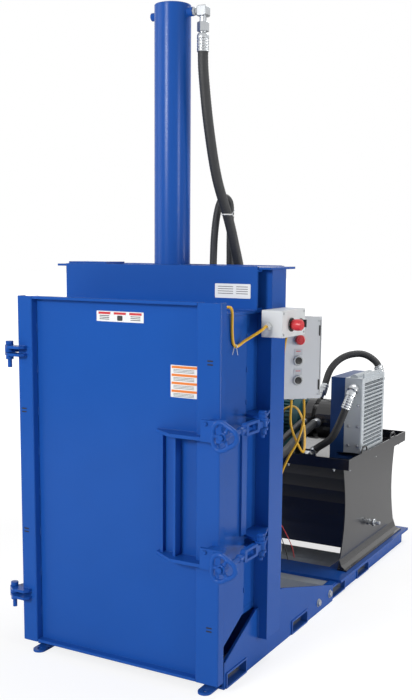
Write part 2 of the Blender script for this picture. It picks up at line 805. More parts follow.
def header_top_plate():
    """The plate that closes the header and holds the ram's barrel."""
    half_length = HEADER_HALF_LENGTH + TOP_PLATE_OVERHANG
    half_depth = HEADER_HALF_DEPTH - HEADER_WALL - GAP
    top = HEADER_TOP
    plate = block((-half_length, -half_depth, top - TOP_PLATE_THICKNESS),
                  (half_length, half_depth, top))
    bore = rod((0, 0, top - TOP_PLATE_THICKNESS - OVERRUN), (0, 0, top + OVERRUN),
               BARREL_RADIUS + GAP, ROUND_SIDES)
    return finish(cut(plate, bore), "header_top_plate", BLUE)


def lifting_pad():
    """A loose-fitted doubler plate on the header's left end."""
    left = -HEADER_HALF_LENGTH
    front = -HEADER_HALF_DEPTH + HEADER_WALL + PAD_SETBACK
    pad = block((left, front, HEADER_TOP + GAP),
                (left + PAD_LENGTH, front + PAD_WIDTH, HEADER_TOP + GAP + PAD_THICKNESS))
    return finish(pad, "header_doubler", BLUE)


# Ram and platen

def cylinder_barrel():
    """The ram's barrel: a turned tube with end bores, ports and lifting stubs."""
    top, bottom = BARREL_TOP, BARREL_BOTTOM
    neck = ROD_RADIUS + RUNNING
    profile = [
        (BARREL_RADIUS, bottom), (BARREL_RADIUS, top),
        (BARREL_RADIUS - BARREL_WALL / 2, top), (BARREL_RADIUS - BARREL_WALL / 2, top - CAP_RECESS),
        (SPIGOT_RADIUS, top - CAP_RECESS), (SPIGOT_RADIUS, top - BARREL_END - CAP_RECESS),
        (BORE_RADIUS, top - BARREL_END - CAP_RECESS), (BORE_RADIUS, bottom + BARREL_END),
        (neck, bottom + BARREL_END), (neck, bottom),
    ]
    barrel = turned(profile, "z", (0, 0, 0))
    port_z = top - PORT_DROP
    start = BARREL_RADIUS - BARREL_WALL / 2
    port = rod((start, 0, port_z), (BARREL_RADIUS + PORT_LENGTH, 0, port_z), PORT_RADIUS)
    stub = rod((-start, 0, port_z), (-BARREL_RADIUS - STUB_LENGTH, 0, port_z), STUB_RADIUS)
    return finish(join(barrel, port, stub), "ram_barrel", BLUE)


def ram_rod():
    """Piston and rod in one, screwed into the platen's boss."""
    bottom = PLATEN_BOTTOM + PLATEN_PLATE + GAP
    piston = BARREL_BOTTOM + BARREL_END + STROKE + PISTON_MARGIN
    profile = [
        (0, bottom), (ROD_RADIUS, bottom), (ROD_RADIUS, piston),
        (BORE_RADIUS - RUNNING, piston), (BORE_RADIUS - RUNNING, piston + PISTON_HEIGHT),
        (0, piston + PISTON_HEIGHT),
    ]
    return finish(turned(profile, "z", (0, 0, 0)), "ram_rod", STEEL)


def platen():
    """The crushing plate, ribbed on top, with a boss for the rod."""
    half = BASE_HALF_WIDTH - POST_WIDTH - PLATEN_CLEARANCE
    front = POST_FRONT + PLATEN_CLEARANCE
    inset = SHELL_WALL + PLATEN_CLEARANCE
    (wall_x, _), (_, corner_y), (corner_x, back) = shell_outline(inset, front)
    run = (wall_x - half) / (wall_x - corner_x)
    outline = mirror_outline([(half, front), (half, corner_y + run * (back - corner_y)),
                              (corner_x, back)])
    top = PLATEN_BOTTOM + PLATEN_PLATE
    plate = prism(outline, "z", PLATEN_BOTTOM, top)
    rib_top = top + PLATEN_RIB_HEIGHT
    spread = half * PLATEN_RIB_SPREAD_SHARE
    ribs = []
    for x in (-spread, spread):
        ribs.append(block((x - PLATEN_RIB / 2, front + OVERRUN, top - OVERRUN),
                          (x + PLATEN_RIB / 2, back - OVERRUN, rib_top)))
    ribs.append(block((-half + OVERRUN, -PLATEN_RIB / 2, top - OVERRUN),
                      (half - OVERRUN, PLATEN_RIB / 2, rib_top)))
    boss = rod((0, 0, top - OVERRUN / 2), (0, 0, rib_top), PLATEN_BOSS_RADIUS, ROUND_SIDES)
    item = join(plate, *ribs, boss)
    socket = rod((0, 0, top), (0, 0, rib_top + OVERRUN), ROD_RADIUS + GAP, ROUND_SIDES)
    return finish(cut(item, socket), "platen", BLUE)


# Door

def stile(left, width):
    """A folded channel down one side of the door, open to the back."""
    item = channel((left, DOOR_FRONT, DOOR_BOTTOM), (left + width, DOOR_BACK, DOOR_TOP),
                   STILE_WALL, "z", (1, 1))
    edge = DOOR_FRONT + GAP
    item = round_edges(item, STILE_BEND / 2, 3, lambda a, b: a.y < edge and b.y < edge
                       and abs(a.x - b.x) < GAP and min(abs(a.x - left), abs(
                           a.x - left - width)) < GAP)
    return item


def door_panel():
    """The door's sheet, set back from its rim, with folded top and bottom edges."""
    left = -DOOR_HALF + HINGE_STILE_WIDTH + GAP
    right = DOOR_HALF - LATCH_STILE_WIDTH - GAP
    back = PANEL_FACE + DOOR_SHEET
    rim = DOOR_FRONT + STILE_WALL / 4
    outline = [
        (rim, DOOR_BOTTOM), (back, DOOR_BOTTOM), (back, DOOR_TOP), (rim, DOOR_TOP),
        (rim, DOOR_TOP - RIM_LIP), (PANEL_FACE, DOOR_TOP - RIM_LIP),
        (PANEL_FACE, DOOR_BOTTOM + RIM_LIP), (rim, DOOR_BOTTOM + RIM_LIP),
    ]
    return finish(prism(outline, "x", left, right), "door_panel", BLUE)


def hinge_stile():
    """The hinge-side stile with the two pairs of hinge lugs welded to its face."""
    item = stile(-DOOR_HALF, HINGE_STILE_WIDTH)
    half_gap = FRAME_LUG_THICKNESS / 2 + GAP * 2
    reach = HINGE_X + LUG_REACH
    weld = DOOR_FRONT + STILE_WALL / 2
    outline = [
        *arc((HINGE_X, HINGE_Y), HINGE_EYE_RADIUS, 45, 250, 10),
        (HINGE_X + HINGE_EYE_RADIUS, HINGE_Y - LUG_PROUD), (reach - OVERRUN, HINGE_Y - LUG_PROUD),
        (reach, HINGE_Y - LUG_PROUD / 2), (reach, weld), (-DOOR_HALF + OVERRUN / 2, weld),
    ]
    for height in HINGE_HEIGHTS:
        for low in (height + half_gap, height - half_gap - LUG_THICKNESS):
            lug = prism(outline, "z", low, low + LUG_THICKNESS)
            lug = cut(lug, rod((HINGE_X, HINGE_Y, low - OVERRUN),
                               (HINGE_X, HINGE_Y, low + LUG_THICKNESS + OVERRUN),
                               HINGE_PIN_RADIUS + RUNNING))
            item = join(item, lug)
    return finish(item, "hinge_stile", BLUE, (HINGE_X, HINGE_Y, 0))


def latch_stile():
    """The stile on the latch side."""
    item = stile(DOOR_HALF - LATCH_STILE_WIDTH, LATCH_STILE_WIDTH)
    return finish(item, "latch_stile", BLUE, (HINGE_X, HINGE_Y, 0))


def latch_frame():
    """The welded frame of flat bars on the door that carries the two catches."""
    face = PANEL_FACE - GAP
    on_stile = DOOR_FRONT - GAP
    front = DOOR_FRONT - BAR_PROUD
    stile_left = DOOR_HALF - LATCH_STILE_WIDTH - GAP
    bar = [(BAR_LEFT, face), (BAR_LEFT, face - OUTER_RIB_PROUD), (BAR_LEFT + BAR_TAPER, front),
           (BAR_RIGHT, front), (BAR_RIGHT, on_stile), (stile_left - GAP, on_stile),
           (stile_left - GAP, face)]
    lower, upper = LATCH_HEIGHTS
    half = BAR_THICKNESS / 2
    item = None
    for height in LATCH_HEIGHTS:
        middle = height - BAR_DROP
        flat = prism(bar, "z", middle - half, middle + half)
        item = flat if item is None else join(item, flat)
        ear_z = height + UPPER_EAR_RISE
        ear = block((BAR_RIGHT - UPPER_EAR_LENGTH, front, ear_z - half),
                    (BAR_RIGHT, on_stile, ear_z + half))
        catch = block((CATCH_LEFT, front - CATCH_THICKNESS, height - CATCH_HALF_HEIGHT),
                      (CATCH_RIGHT, front + CATCH_THICKNESS / 4, height + CATCH_HALF_HEIGHT))
        item = join(item, catch, ear)
    bottom = lower - BAR_DROP + half / 2
    top = upper - BAR_DROP - half / 2
    outer = block((OUTER_RIB_X, face - OUTER_RIB_PROUD, bottom),
                  (OUTER_RIB_X + RIB_THICKNESS, face, top))
    inner = block((INNER_RIB_X, face - INNER_RIB_PROUD, bottom),
                  (INNER_RIB_X + RIB_THICKNESS, face, top))
    return finish(join(item, outer, inner), "latch_frame", BLUE, (HINGE_X, HINGE_Y, 0))


def hinge_lug(number):
    """The frame's half of a hinge: one thick plate from the post to the pin."""
    height = HINGE_HEIGHTS[number]
    half = FRAME_LUG_THICKNESS / 2
    inner = -BASE_HALF_WIDTH + POST_WALL / 2
    outline = [
        (inner, POST_FRONT + OVERRUN), (inner, POST_FRONT + FRAME_LUG_BACK),
        (HINGE_X - HINGE_EYE_RADIUS / 2, HINGE_Y + HINGE_EYE_RADIUS * 3),
        *arc((HINGE_X, HINGE_Y), HINGE_EYE_RADIUS, 180, 360, 10),
        (-DOOR_HALF - DOOR_GAP, DOOR_BACK),
    ]
    lug = prism(outline, "z", height - half, height + half)
    bore = rod((HINGE_X, HINGE_Y, height - half - OVERRUN),
               (HINGE_X, HINGE_Y, height + half + OVERRUN), HINGE_PIN_RADIUS + RUNNING)
    return cut(lug, bore)


def hinge_pin(number):
    """A headed bolt dropped through the hinge, with its thread showing below."""
    height = HINGE_HEIGHTS[number]
    top = height + FRAME_LUG_THICKNESS / 2 + LUG_THICKNESS + GAP * 4
    bottom = height - FRAME_LUG_THICKNESS / 2 - LUG_THICKNESS - GAP * 4
    head = top + PIN_HEAD_HEIGHT
    nut = bottom - PIN_HEAD_HEIGHT
    profile = [
        (0, nut - PIN_TAIL), (HINGE_PIN_RADIUS, nut - PIN_TAIL), (HINGE_PIN_RADIUS, nut),
        (PIN_HEAD_RADIUS, nut), (PIN_HEAD_RADIUS, bottom), (HINGE_PIN_RADIUS, bottom),
        (HINGE_PIN_RADIUS, top), (PIN_HEAD_RADIUS, top), (PIN_HEAD_RADIUS, head), (0, head),
    ]
    pin = turned(profile, "z", (HINGE_X, HINGE_Y, 0), SMALL_SIDES)
    return finish(pin, ("hinge_pin_lower", "hinge_pin_upper")[number], BLUE)


# Latches

LATCH_NAMES = ("lower", "upper")


def latch_bracket(number):
    """Two rounded ears on the column and wall, with the pivot pin through them."""
    height = LATCH_HEIGHTS[number]
    wall = CHAMBER_HALF_WIDTH + GAP
    column_face = -COLUMN_DEPTH / 2 - GAP
    post_back = POST_BACK + GAP
    pivot = (LATCH_OUT, LATCH_PIVOT_Y)
    outline = [
        (wall, post_back), (wall, column_face), (COLUMN_OUT - GAP, column_face),
        (LATCH_OUT - EAR_RELIEF, LATCH_PIVOT_Y + EAR_WAIST),
        *arc(pivot, EAR_RADIUS, 60, -180, 10),
        (BASE_HALF_WIDTH + GAP, post_back),
    ]
    item = None
    for low in (height + EAR_CLEARANCE, height - EAR_CLEARANCE - EAR_THICKNESS):
        ear = prism(outline, "z", low, low + EAR_THICKNESS)
        item = ear if item is None else join(item, ear)
    top = height + EAR_CLEARANCE + EAR_THICKNESS
    bottom = height - EAR_CLEARANCE - EAR_THICKNESS
    shaft = rod((*pivot, bottom - PIN_HEAD_HEIGHT * 2), (*pivot, top + OVERRUN / 2), PIVOT_RADIUS)
    head = rod((*pivot, top - EAR_THICKNESS / 2), (*pivot, top + PIN_HEAD_HEIGHT), PIN_HEAD_RADIUS)
    nut = rod((*pivot, bottom - PIN_HEAD_HEIGHT), (*pivot, bottom + EAR_THICKNESS / 2),
              PIN_HEAD_RADIUS)
    item = join(item, shaft, head, nut)
    return finish(item, f"latch_bracket_{LATCH_NAMES[number]}", BLUE)


def swing_bolt(number):
    """A slotted link on the pivot pin, a collar, and the threaded rod."""
    height = LATCH_HEIGHTS[number]
    x, y = LATCH_OUT, LATCH_PIVOT_Y
    start, end = y - LINK_START, y - LINK_START - LINK_LENGTH
    half = LINK_THICKNESS / 2
    eye = rod((x, y, height - TONGUE_HALF_HEIGHT), (x, y, height + TONGUE_HALF_HEIGHT),
              TONGUE_RADIUS, ROUND_SIDES)
    tongue = block((x - half, start - LINK_BAR / 2, height - TONGUE_HALF_HEIGHT),
                   (x + half, y, height + TONGUE_HALF_HEIGHT))
    link = block((x - half, end, height - LINK_HALF_HEIGHT),
                 (x + half, start, height + LINK_HALF_HEIGHT))
    link = round_edges(link, LINK_BAR, 3, lambda a, b: abs(a.x - b.x) > half)
    slot_half = LINK_HALF_HEIGHT - LINK_BAR
    slot = block((x - half - OVERRUN, end + LINK_BAR * 2, height - slot_half),
                 (x + half + OVERRUN, start - LINK_BAR * 2, height + slot_half))
    link = cut(link, slot)
    collar_y, collar_face = end - COLLAR_GAP, COLLAR_RADIUS * COLLAR_FACE_SHARE
    shaft = rod((x, y - SWING_ROD_REACH, height), (x, end + LINK_BAR, height), SWING_ROD_RADIUS)
    collar = turned([
        (0, -COLLAR_RADIUS), (collar_face, -collar_face), (COLLAR_RADIUS, 0),
        (collar_face, collar_face), (0, COLLAR_RADIUS)],
        "y", (x, collar_y, height), SMALL_SIDES)
    item = join(eye, tongue, link, shaft, collar)
    bore = rod((x, y, height - TONGUE_HALF_HEIGHT - OVERRUN),
               (x, y, height + TONGUE_HALF_HEIGHT + OVERRUN), PIVOT_RADIUS + RUNNING)
    return finish(cut(item, bore), f"swing_bolt_{LATCH_NAMES[number]}", BLUE, (x, y, height))


def handwheel(number):
    """A three-lobed ring nut with three spokes, which runs on the swing bolt."""
    height = LATCH_HEIGHTS[number]
    centre = Vector((LATCH_OUT, LATCH_PIVOT_Y - WHEEL_REACH, height))
    bm = bmesh.new()
    rings = []
    for step in range(WHEEL_STEPS):
        angle = 2 * math.pi * step / WHEEL_STEPS
        radius = WHEEL_RADIUS + WHEEL_LOBE * math.cos(WHEEL_LOBES * angle)
        ring = []
        for corner in range(RIM_SIDES):
            turn = 2 * math.pi * corner / RIM_SIDES
            reach = radius + RIM_RADIUS * math.cos(turn)
            ring.append(bm.verts.new(centre + Vector((
                reach * math.cos(angle), RIM_RADIUS * math.sin(turn), reach * math.sin(angle)))))
        rings.append(ring)
    for step, ring in enumerate(rings):
        after = rings[(step + 1) % WHEEL_STEPS]
        for corner in range(RIM_SIDES):
            next_corner = (corner + 1) % RIM_SIDES
            bm.faces.new((ring[corner], ring[next_corner], after[next_corner], after[corner]))
    rim = to_object(bm)
    hub = rod(centre - Vector((0, HUB_LENGTH / 2, 0)), centre + Vector((0, HUB_LENGTH / 2, 0)),
              HUB_RADIUS)
    item = join(rim, hub)
    for lobe in range(WHEEL_LOBES):
        angle = 2 * math.pi * (lobe + 1 / 2) / WHEEL_LOBES
        out = Vector((math.cos(angle), 0, math.sin(angle)))
        item = join(item, rod(centre + out * HUB_RADIUS / 2,
                              centre + out * (WHEEL_RADIUS - WHEEL_LOBE), SPOKE_RADIUS, THIN_SIDES))
    bore = rod(centre - Vector((0, HUB_LENGTH, 0)), centre + Vector((0, HUB_LENGTH, 0)),
               SWING_ROD_RADIUS + RUNNING)
    return finish(cut(item, bore), f"handwheel_{LATCH_NAMES[number]}", BLUE, centre)


def latch_stiffener():
    """The flat bar on the right-hand post between the latches."""
    bottom, top = LATCH_HEIGHTS
    back = POST_BACK
    ear = EAR_CLEARANCE + EAR_THICKNESS + STIFFENER_END_GAP
    return block((BASE_HALF_WIDTH - POST_WALL / 2, back - STIFFENER_WIDTH, bottom + ear),
                 (BASE_HALF_WIDTH + STIFFENER_THICKNESS, back - STIFFENER_SETBACK, top - ear))


# Rear skid and oil tank

def skid_frame():
    """Two rails and a top pan with a window, notched over the fork tubes."""
    outer, inner = SKID_HALF_WIDTH, SKID_HALF_WIDTH - SKID_RAIL
    back = SKID_BACK
    item = None
    for side in (-1, 1):
        low, high = sorted((side * inner, side * outer))
        rail = block((low, SKID_FRONT, 0), (high, back, SKID_HEIGHT))
        item = rail if item is None else join(item, rail)
    wide = SKID_HALF_WIDTH + SKID_PLATE_OUT
    pan = block((-wide, SKID_PAN_FRONT, SKID_HEIGHT - SKID_PLATE / 2),
                (wide, back + SKID_CROSS, SKID_TOP))
    item = join(item, pan)
    for y in (SKID_PAN_FRONT, back - SKID_CROSS):
        item = join(item, block((-inner - OVERRUN, y, SKID_PLATE),
                                (inner + OVERRUN, y + SKID_CROSS, SKID_HEIGHT)))
    window = block((-SKID_WINDOW_HALF_WIDTH, SKID_WINDOW_FRONT, SKID_HEIGHT - OVERRUN),
                   (SKID_WINDOW_HALF_WIDTH, SKID_WINDOW_BACK, SKID_TOP + OVERRUN))
    item = cut(item, window)
    for centre in FORK_CENTRES[2:]:
        item = cut(item, block(
            (-wide - OVERRUN, centre - FORK_WIDTH / 2 - GAP, -OVERRUN),
            (wide + OVERRUN, centre + FORK_WIDTH / 2 + GAP, FORK_HEIGHT + GAP)))
    return finish(item, "skid_frame", BLUE)


def tank_outline(inset):
    """The tank's waisted side view: y against z, bottom first."""
    steps = TANK_SIDE_STEPS
    front, back = [], []
    top, bottom = TANK_TOP, SKID_TOP + GAP
    for n in range(steps + 1):
        share = n / steps
        z = bottom + (top - bottom) * share
        waist = TANK_WAIST * math.sin(math.pi * share)
        flare = TANK_FOOT_FLARE * (1 - share) ** 2
        front.append((TANK_FRONT + inset + waist - flare, z))
        back.append((TANK_BACK - inset - waist + flare, z))
    return front + back[::-1]


def oil_tank():
    """A waisted reservoir hung between two side plates on flared feet."""
    sides = TANK_HALF_WIDTH
    body = prism(tank_outline(TANK_SIDE), "x", -sides + TANK_SIDE / 2, sides - TANK_SIDE / 2)
    under = block((-sides - OVERRUN, TANK_FRONT - SKID_CROSS * 2, -OVERRUN),
                  (sides + OVERRUN, TANK_BACK + SKID_CROSS * 2, TANK_BOTTOM))
    item = cut(body, under)
    rib_foot, rib_knee = TANK_RIB_OUT_SHARES
    knee_rise, rib_rise = TANK_RIB_RISE_SHARES
    for side in (-1, 1):
        low, high = sorted((side * (sides - TANK_SIDE), side * sides))
        item = join(item, prism(tank_outline(0.0), "x", low, high))
        low, high = sorted((side * (sides - TANK_SIDE), side * (sides + TANK_FLANGE_OUT)))
        bottom = SKID_TOP + GAP
        first, last = TANK_FRONT - TANK_FOOT_FLARE, TANK_BACK + TANK_FOOT_FLARE
        item = join(item, block((low, first, bottom), (high, last, bottom + TANK_FLANGE)))
        rib = prism([(side * (sides - TANK_SIDE / 2), bottom + TANK_FLANGE / 2),
                     (side * (sides + TANK_FLANGE_OUT * rib_foot), bottom + TANK_FLANGE / 2),
                     (side * (sides + TANK_FLANGE_OUT * rib_knee), bottom + TANK_FLANGE * knee_rise),
                     (side * (sides - TANK_SIDE / 2), bottom + TANK_FLANGE * rib_rise)],
                    "y", first + OVERRUN, last - OVERRUN)
        item = join(item, rib)
    return finish(item, "oil_tank", BLACK)


def handle_outline(centre, base):
    """A rounded tab that rises from the lid's lip."""
    half = HANDLE_WIDTH / 2
    shoulder, top = half * HANDLE_SHOULDER_SHARE, half * HANDLE_TOP_SHARE
    shoulder_z = base + HANDLE_RISE * HANDLE_SHOULDER_RISE_SHARE
    return [(centre - half, base), (centre - shoulder, shoulder_z),
            (centre - top, base + HANDLE_RISE), (centre + top, base + HANDLE_RISE),
            (centre + shoulder, shoulder_z), (centre + half, base)]


def tank_lid():
    """A black tray over the tank, its lip carrying four slotted lifting tabs."""
    wide = TANK_HALF_WIDTH + LID_OVERHANG
    front, back = TANK_FRONT - LID_OVERHANG, TANK_BACK + LID_OVERHANG
    bottom = TANK_TOP + GAP
    lip_top = bottom + LID_LIP
    tray = block((-wide, front, bottom), (wide, back, lip_top))
    tray = cut(tray, block((-wide + LID_WALL, front + LID_WALL, bottom + LID_THICKNESS),
                           (wide - LID_WALL, back - LID_WALL, lip_top + OVERRUN)))
    base = lip_top - OVERRUN / 2
    span = (back - front) / 4
    places = [("x", side * wide, side, centre) for side in (-1, 1)
              for centre in (front + span, back - span)]
    places.append(("y", front, -1, wide / 2))
    for axis, edge, side, centre in places:
        low, high = sorted((edge, edge - side * LID_WALL))
        tab = prism(handle_outline(centre, base), axis, low, high)
        slot_z = lip_top + HANDLE_RISE * HANDLE_SLOT_RISE_SHARE
        half = HANDLE_SLOT_WIDTH / 2
        slot = [(centre - half, slot_z - HANDLE_SLOT_HEIGHT / 2),
                (centre + half, slot_z - HANDLE_SLOT_HEIGHT / 2),
                (centre + half, slot_z + HANDLE_SLOT_HEIGHT / 2),
                (centre - half, slot_z + HANDLE_SLOT_HEIGHT / 2)]
        tray = join(tray, tab)
        tray = cut(tray, prism(slot, axis, low - OVERRUN, high + OVERRUN))
    return finish(tray, "tank_lid", BLACK)


def drain_valve():
    """A brass drain cock low on the tank's right side."""
    start = TANK_HALF_WIDTH + GAP
    profile = [(0, start)]
    profile += [(VALVE_RADIUS * out, start + VALVE_LENGTH * along)
                for out, along in VALVE_PROFILE_SHARES]
    profile.append((0, start + VALVE_LENGTH))
    return finish(turned(profile, "x", (0, VALVE_Y, VALVE_Z), SMALL_SIDES), "drain_valve", STEEL)


# Power unit on the lid

def motor():
    """A foot-mounted finned motor with a terminal box on its front side."""
    z = LID_TOP + MOTOR_AXIS_RISE
    outline = []
    for n in range(MOTOR_FIN_COUNT):
        pitch = 2 * math.pi / MOTOR_FIN_COUNT
        for share, radius in ((0, MOTOR_RADIUS), (MOTOR_FIN_SHARE, MOTOR_RADIUS),
                              (MOTOR_FIN_SHARE + MOTOR_FIN_SLOPE_SHARE, MOTOR_RADIUS + MOTOR_FIN),
                              (1 - MOTOR_FIN_SLOPE_SHARE, MOTOR_RADIUS + MOTOR_FIN)):
            angle = pitch * (n + share)
            outline.append((MOTOR_Y + radius * math.cos(angle), z + radius * math.sin(angle)))
    end = MOTOR_LEFT + MOTOR_LENGTH
    barrel = prism(outline, "x", MOTOR_LEFT, end)
    middle = (MOTOR_LEFT + end) / 2
    foot = block((middle - MOTOR_FOOT_LENGTH / 2, MOTOR_Y - MOTOR_FOOT_WIDTH / 2, LID_TOP + GAP),
                 (middle + MOTOR_FOOT_LENGTH / 2, MOTOR_Y + MOTOR_FOOT_WIDTH / 2,
                  z - MOTOR_RADIUS * MOTOR_FOOT_RISE_SHARE))
    half = TERMINAL_BOX_SIZE / 2
    front = MOTOR_Y - MOTOR_RADIUS - TERMINAL_BOX_RISE
    terminal = block((middle - half, front, z - half), (middle + half, MOTOR_Y, z + half))
    return finish(join(barrel, foot, terminal), "motor", TEAL)


def pump_housing():
    """The black bell housing and fan cover between the motor and the cooler."""
    z = LID_TOP + MOTOR_AXIS_RISE
    start = MOTOR_LEFT + MOTOR_LENGTH + GAP
    end = SHROUD_LEFT - GAP
    bell = start + BELL_LENGTH
    neck = COVER_RADIUS * COVER_NECK_SHARE
    neck_end, cover_start = (bell + BELL_LENGTH * share for share in COVER_SLOPE_SHARES)
    profile = [(0, start), (BELL_RADIUS * BELL_MOUTH_SHARE, start),
               (BELL_RADIUS, start + BELL_LENGTH * BELL_SLOPE_SHARE), (BELL_RADIUS, bell),
               (neck, bell + GAP), (neck, neck_end),
               (COVER_RADIUS, cover_start), (COVER_RADIUS, end), (0, end)]
    housing = turned(profile, "x", (0, MOTOR_Y, z))
    for out in (RETURN_PORT_OUT, MAIN_PORT_OUT):
        x = start + out
        housing = join(housing, rod((x, PUMP_PORT_FACE, z), (x, MOTOR_Y, z), PUMP_PORT_RADIUS))
    return finish(housing, "pump_housing", BLACK)


def fan_shroud():
    """The deep blue fan duct on its folded foot."""
    bottom = LID_TOP + SHROUD_BOTTOM
    top = bottom + SHROUD_HEIGHT
    right = SHROUD_LEFT + SHROUD_THICKNESS
    back = SHROUD_FRONT + SHROUD_WIDTH
    duct = block((SHROUD_LEFT, SHROUD_FRONT, bottom), (right, back, top))
    foot = block((SHROUD_LEFT, SHROUD_FRONT, LID_TOP + GAP),
                 (right + COOLER_THICKNESS / 2, back, LID_TOP + GAP + SHROUD_FOOT))
    leg = block((SHROUD_LEFT, SHROUD_FRONT, LID_TOP + SHROUD_FOOT / 2),
                (right - SHROUD_THICKNESS / 2, back, bottom + OVERRUN))
    return finish(join(duct, foot, leg), "fan_shroud", NAVY)


def oil_cooler():
    """An aluminium core with deep horizontal fins and a header down each side."""
    left = SHROUD_LEFT + SHROUD_THICKNESS + GAP
    right = left + COOLER_THICKNESS
    bottom = LID_TOP + COOLER_RISE + SHROUD_FOOT
    top = LID_TOP + SHROUD_BOTTOM + SHROUD_HEIGHT
    front, back = SHROUD_FRONT, SHROUD_FRONT + SHROUD_WIDTH
    core = block((left, front, bottom), (right, back, top))
    core = round_edges(core, COOLER_CAP / 2, 3, lambda a, b: abs(a.z - b.z) > COOLER_CAP
                       and a.x > right - GAP and a.y < front + GAP)
    pitch = (top - bottom - COOLER_CAP * 2) / COOLER_FIN_COUNT
    for n in range(COOLER_FIN_COUNT):
        z = bottom + COOLER_CAP + pitch * (n + 1 / 2)
        core = cut(core, block((right - COOLER_FIN_DEPTH, front + COOLER_HEADER, z - COOLER_FIN_GAP),
                               (right + OVERRUN, back - COOLER_HEADER, z + COOLER_FIN_GAP)))
    flange = block((right - COOLER_CAP / 2, front + COOLER_HEADER, top - OVERRUN),
                   (right - COOLER_CAP / 4, back - COOLER_HEADER, top + COOLER_CAP))
    tank_z = top - OVERRUN / 2
    middle = left + COOLER_THICKNESS * COOLER_PIPE_SHARE
    pipe = rod((middle, front + COOLER_CAP, tank_z),
               (middle, back - COOLER_CAP * COOLER_PIPE_END_SHARE, tank_z), COOLER_CAP)
    core = join(core, flange, pipe)
    port_z = top - COOLER_CAP * COOLER_PORT_DROP_SHARE
    port_x = left + COOLER_THICKNESS * COOLER_PORT_SHARE
    for y in (front, back):
        core = join(core, rod((port_x, y - OVERRUN, port_z), (port_x, y + OVERRUN, port_z),
                              FITTING_RADIUS * COOLER_PORT_RADIUS_SHARE))
    return finish(core, "oil_cooler", ALUMINIUM)


def breather():
    """The filler and breather cap on the lid."""
    x = -TANK_HALF_WIDTH * BREATHER_PLACE_SHARE
    y = TANK_FRONT + BREATHER_RADIUS * BREATHER_SETBACK_SHARE
    profile = [(0, 0)]
    profile += [(BREATHER_RADIUS * out, BREATHER_HEIGHT * up) for out, up in BREATHER_PROFILE_SHARES]
    profile.append((0, BREATHER_HEIGHT))
    return finish(turned(profile, "z", (x, y, LID_TOP + GAP), SMALL_SIDES), "tank_breather", BLACK)


# Electrical enclosure

def in_box(item):
    """Turn a piece modelled in the enclosure's own frame into its place."""
    item.data.transform(BOX_TURNED)
    return item


def box_point(x, y, z):
    return tuple(BOX_TURNED @ Vector((x, y, z)))


def enclosure_body():
    """The open box, its face at y = 0 and its back at +y in its own frame."""
    half = BOX_WIDTH / 2
    body = block((-half, BOX_LID + GAP, 0), (half, BOX_DEPTH, BOX_HEIGHT))
    hollow = block((-half + BOX_WALL, 0, BOX_WALL),
                   (half - BOX_WALL, BOX_DEPTH - BOX_WALL, BOX_HEIGHT - BOX_WALL))
    body = cut(body, hollow)
    y = BOX_DEPTH * BOX_GLAND_DEPTH_SHARE
    for side in (-1, 0, 1):
        x = side * half * BOX_GLAND_PLACE_SHARE
        body = join(body, rod((x, y, -GLAND_LENGTH), (x, y, BOX_WALL / 2), GLAND_RADIUS))
    return finish(in_box(body), "enclosure_body", GREY)


def enclosure_lid():
    """The hinged door of the box, with collars for three push buttons."""
    half = BOX_WIDTH / 2
    lid = block((-half, 0, -BOX_LID_MARGIN), (half, BOX_LID, BOX_HEIGHT + BOX_LID_MARGIN))
    lid = cut(lid, block((-half + BOX_WALL, BOX_WALL, BOX_WALL),
                         (half - BOX_WALL, BOX_LID + OVERRUN, BOX_HEIGHT - BOX_WALL)))
    for rise in (ESTOP_RISE, START_RISE, STOP_RISE):
        lid = join(lid, rod((0, -BUTTON_COLLAR_LENGTH, rise), (0, BOX_WALL / 2, rise),
                            BUTTON_COLLAR))
        lid = cut(lid, rod((0, -BUTTON_COLLAR_LENGTH - OVERRUN, rise), (0, BOX_LID, rise),
                           BUTTON_RADIUS + RUNNING))
    return finish(in_box(lid), "enclosure_lid", GREY, box_point(half, 0, 0))


def push_button(name, rise, look):
    """A flush button that travels into its collar."""
    head = BUTTON_COLLAR_LENGTH + BUTTON_TRAVEL
    item = rod((0, -head, rise), (0, -head + BUTTON_LENGTH, rise), BUTTON_RADIUS)
    return finish(in_box(item), name, look, box_point(0, 0, rise))


def estop_button():
    """A red mushroom on a stem that passes through its collar."""
    stem_end = BOX_WALL + BUTTON_TRAVEL
    head = -BUTTON_COLLAR_LENGTH - MUSHROOM_STEM
    edge_start, edge_end = MUSHROOM_SLOPE_SHARES
    profile = [
        (0, head), (MUSHROOM_RADIUS * MUSHROOM_FACE_SHARE, head),
        (MUSHROOM_RADIUS, head + MUSHROOM_HEAD * edge_start),
        (MUSHROOM_RADIUS, head + MUSHROOM_HEAD * edge_end),
        (BUTTON_RADIUS, head + MUSHROOM_HEAD), (BUTTON_RADIUS, stem_end), (0, stem_end)]
    item = turned(profile, "y", (0, 0, ESTOP_RISE), SMALL_SIDES)
    return finish(in_box(item), "estop_button", RED, box_point(0, 0, ESTOP_RISE))


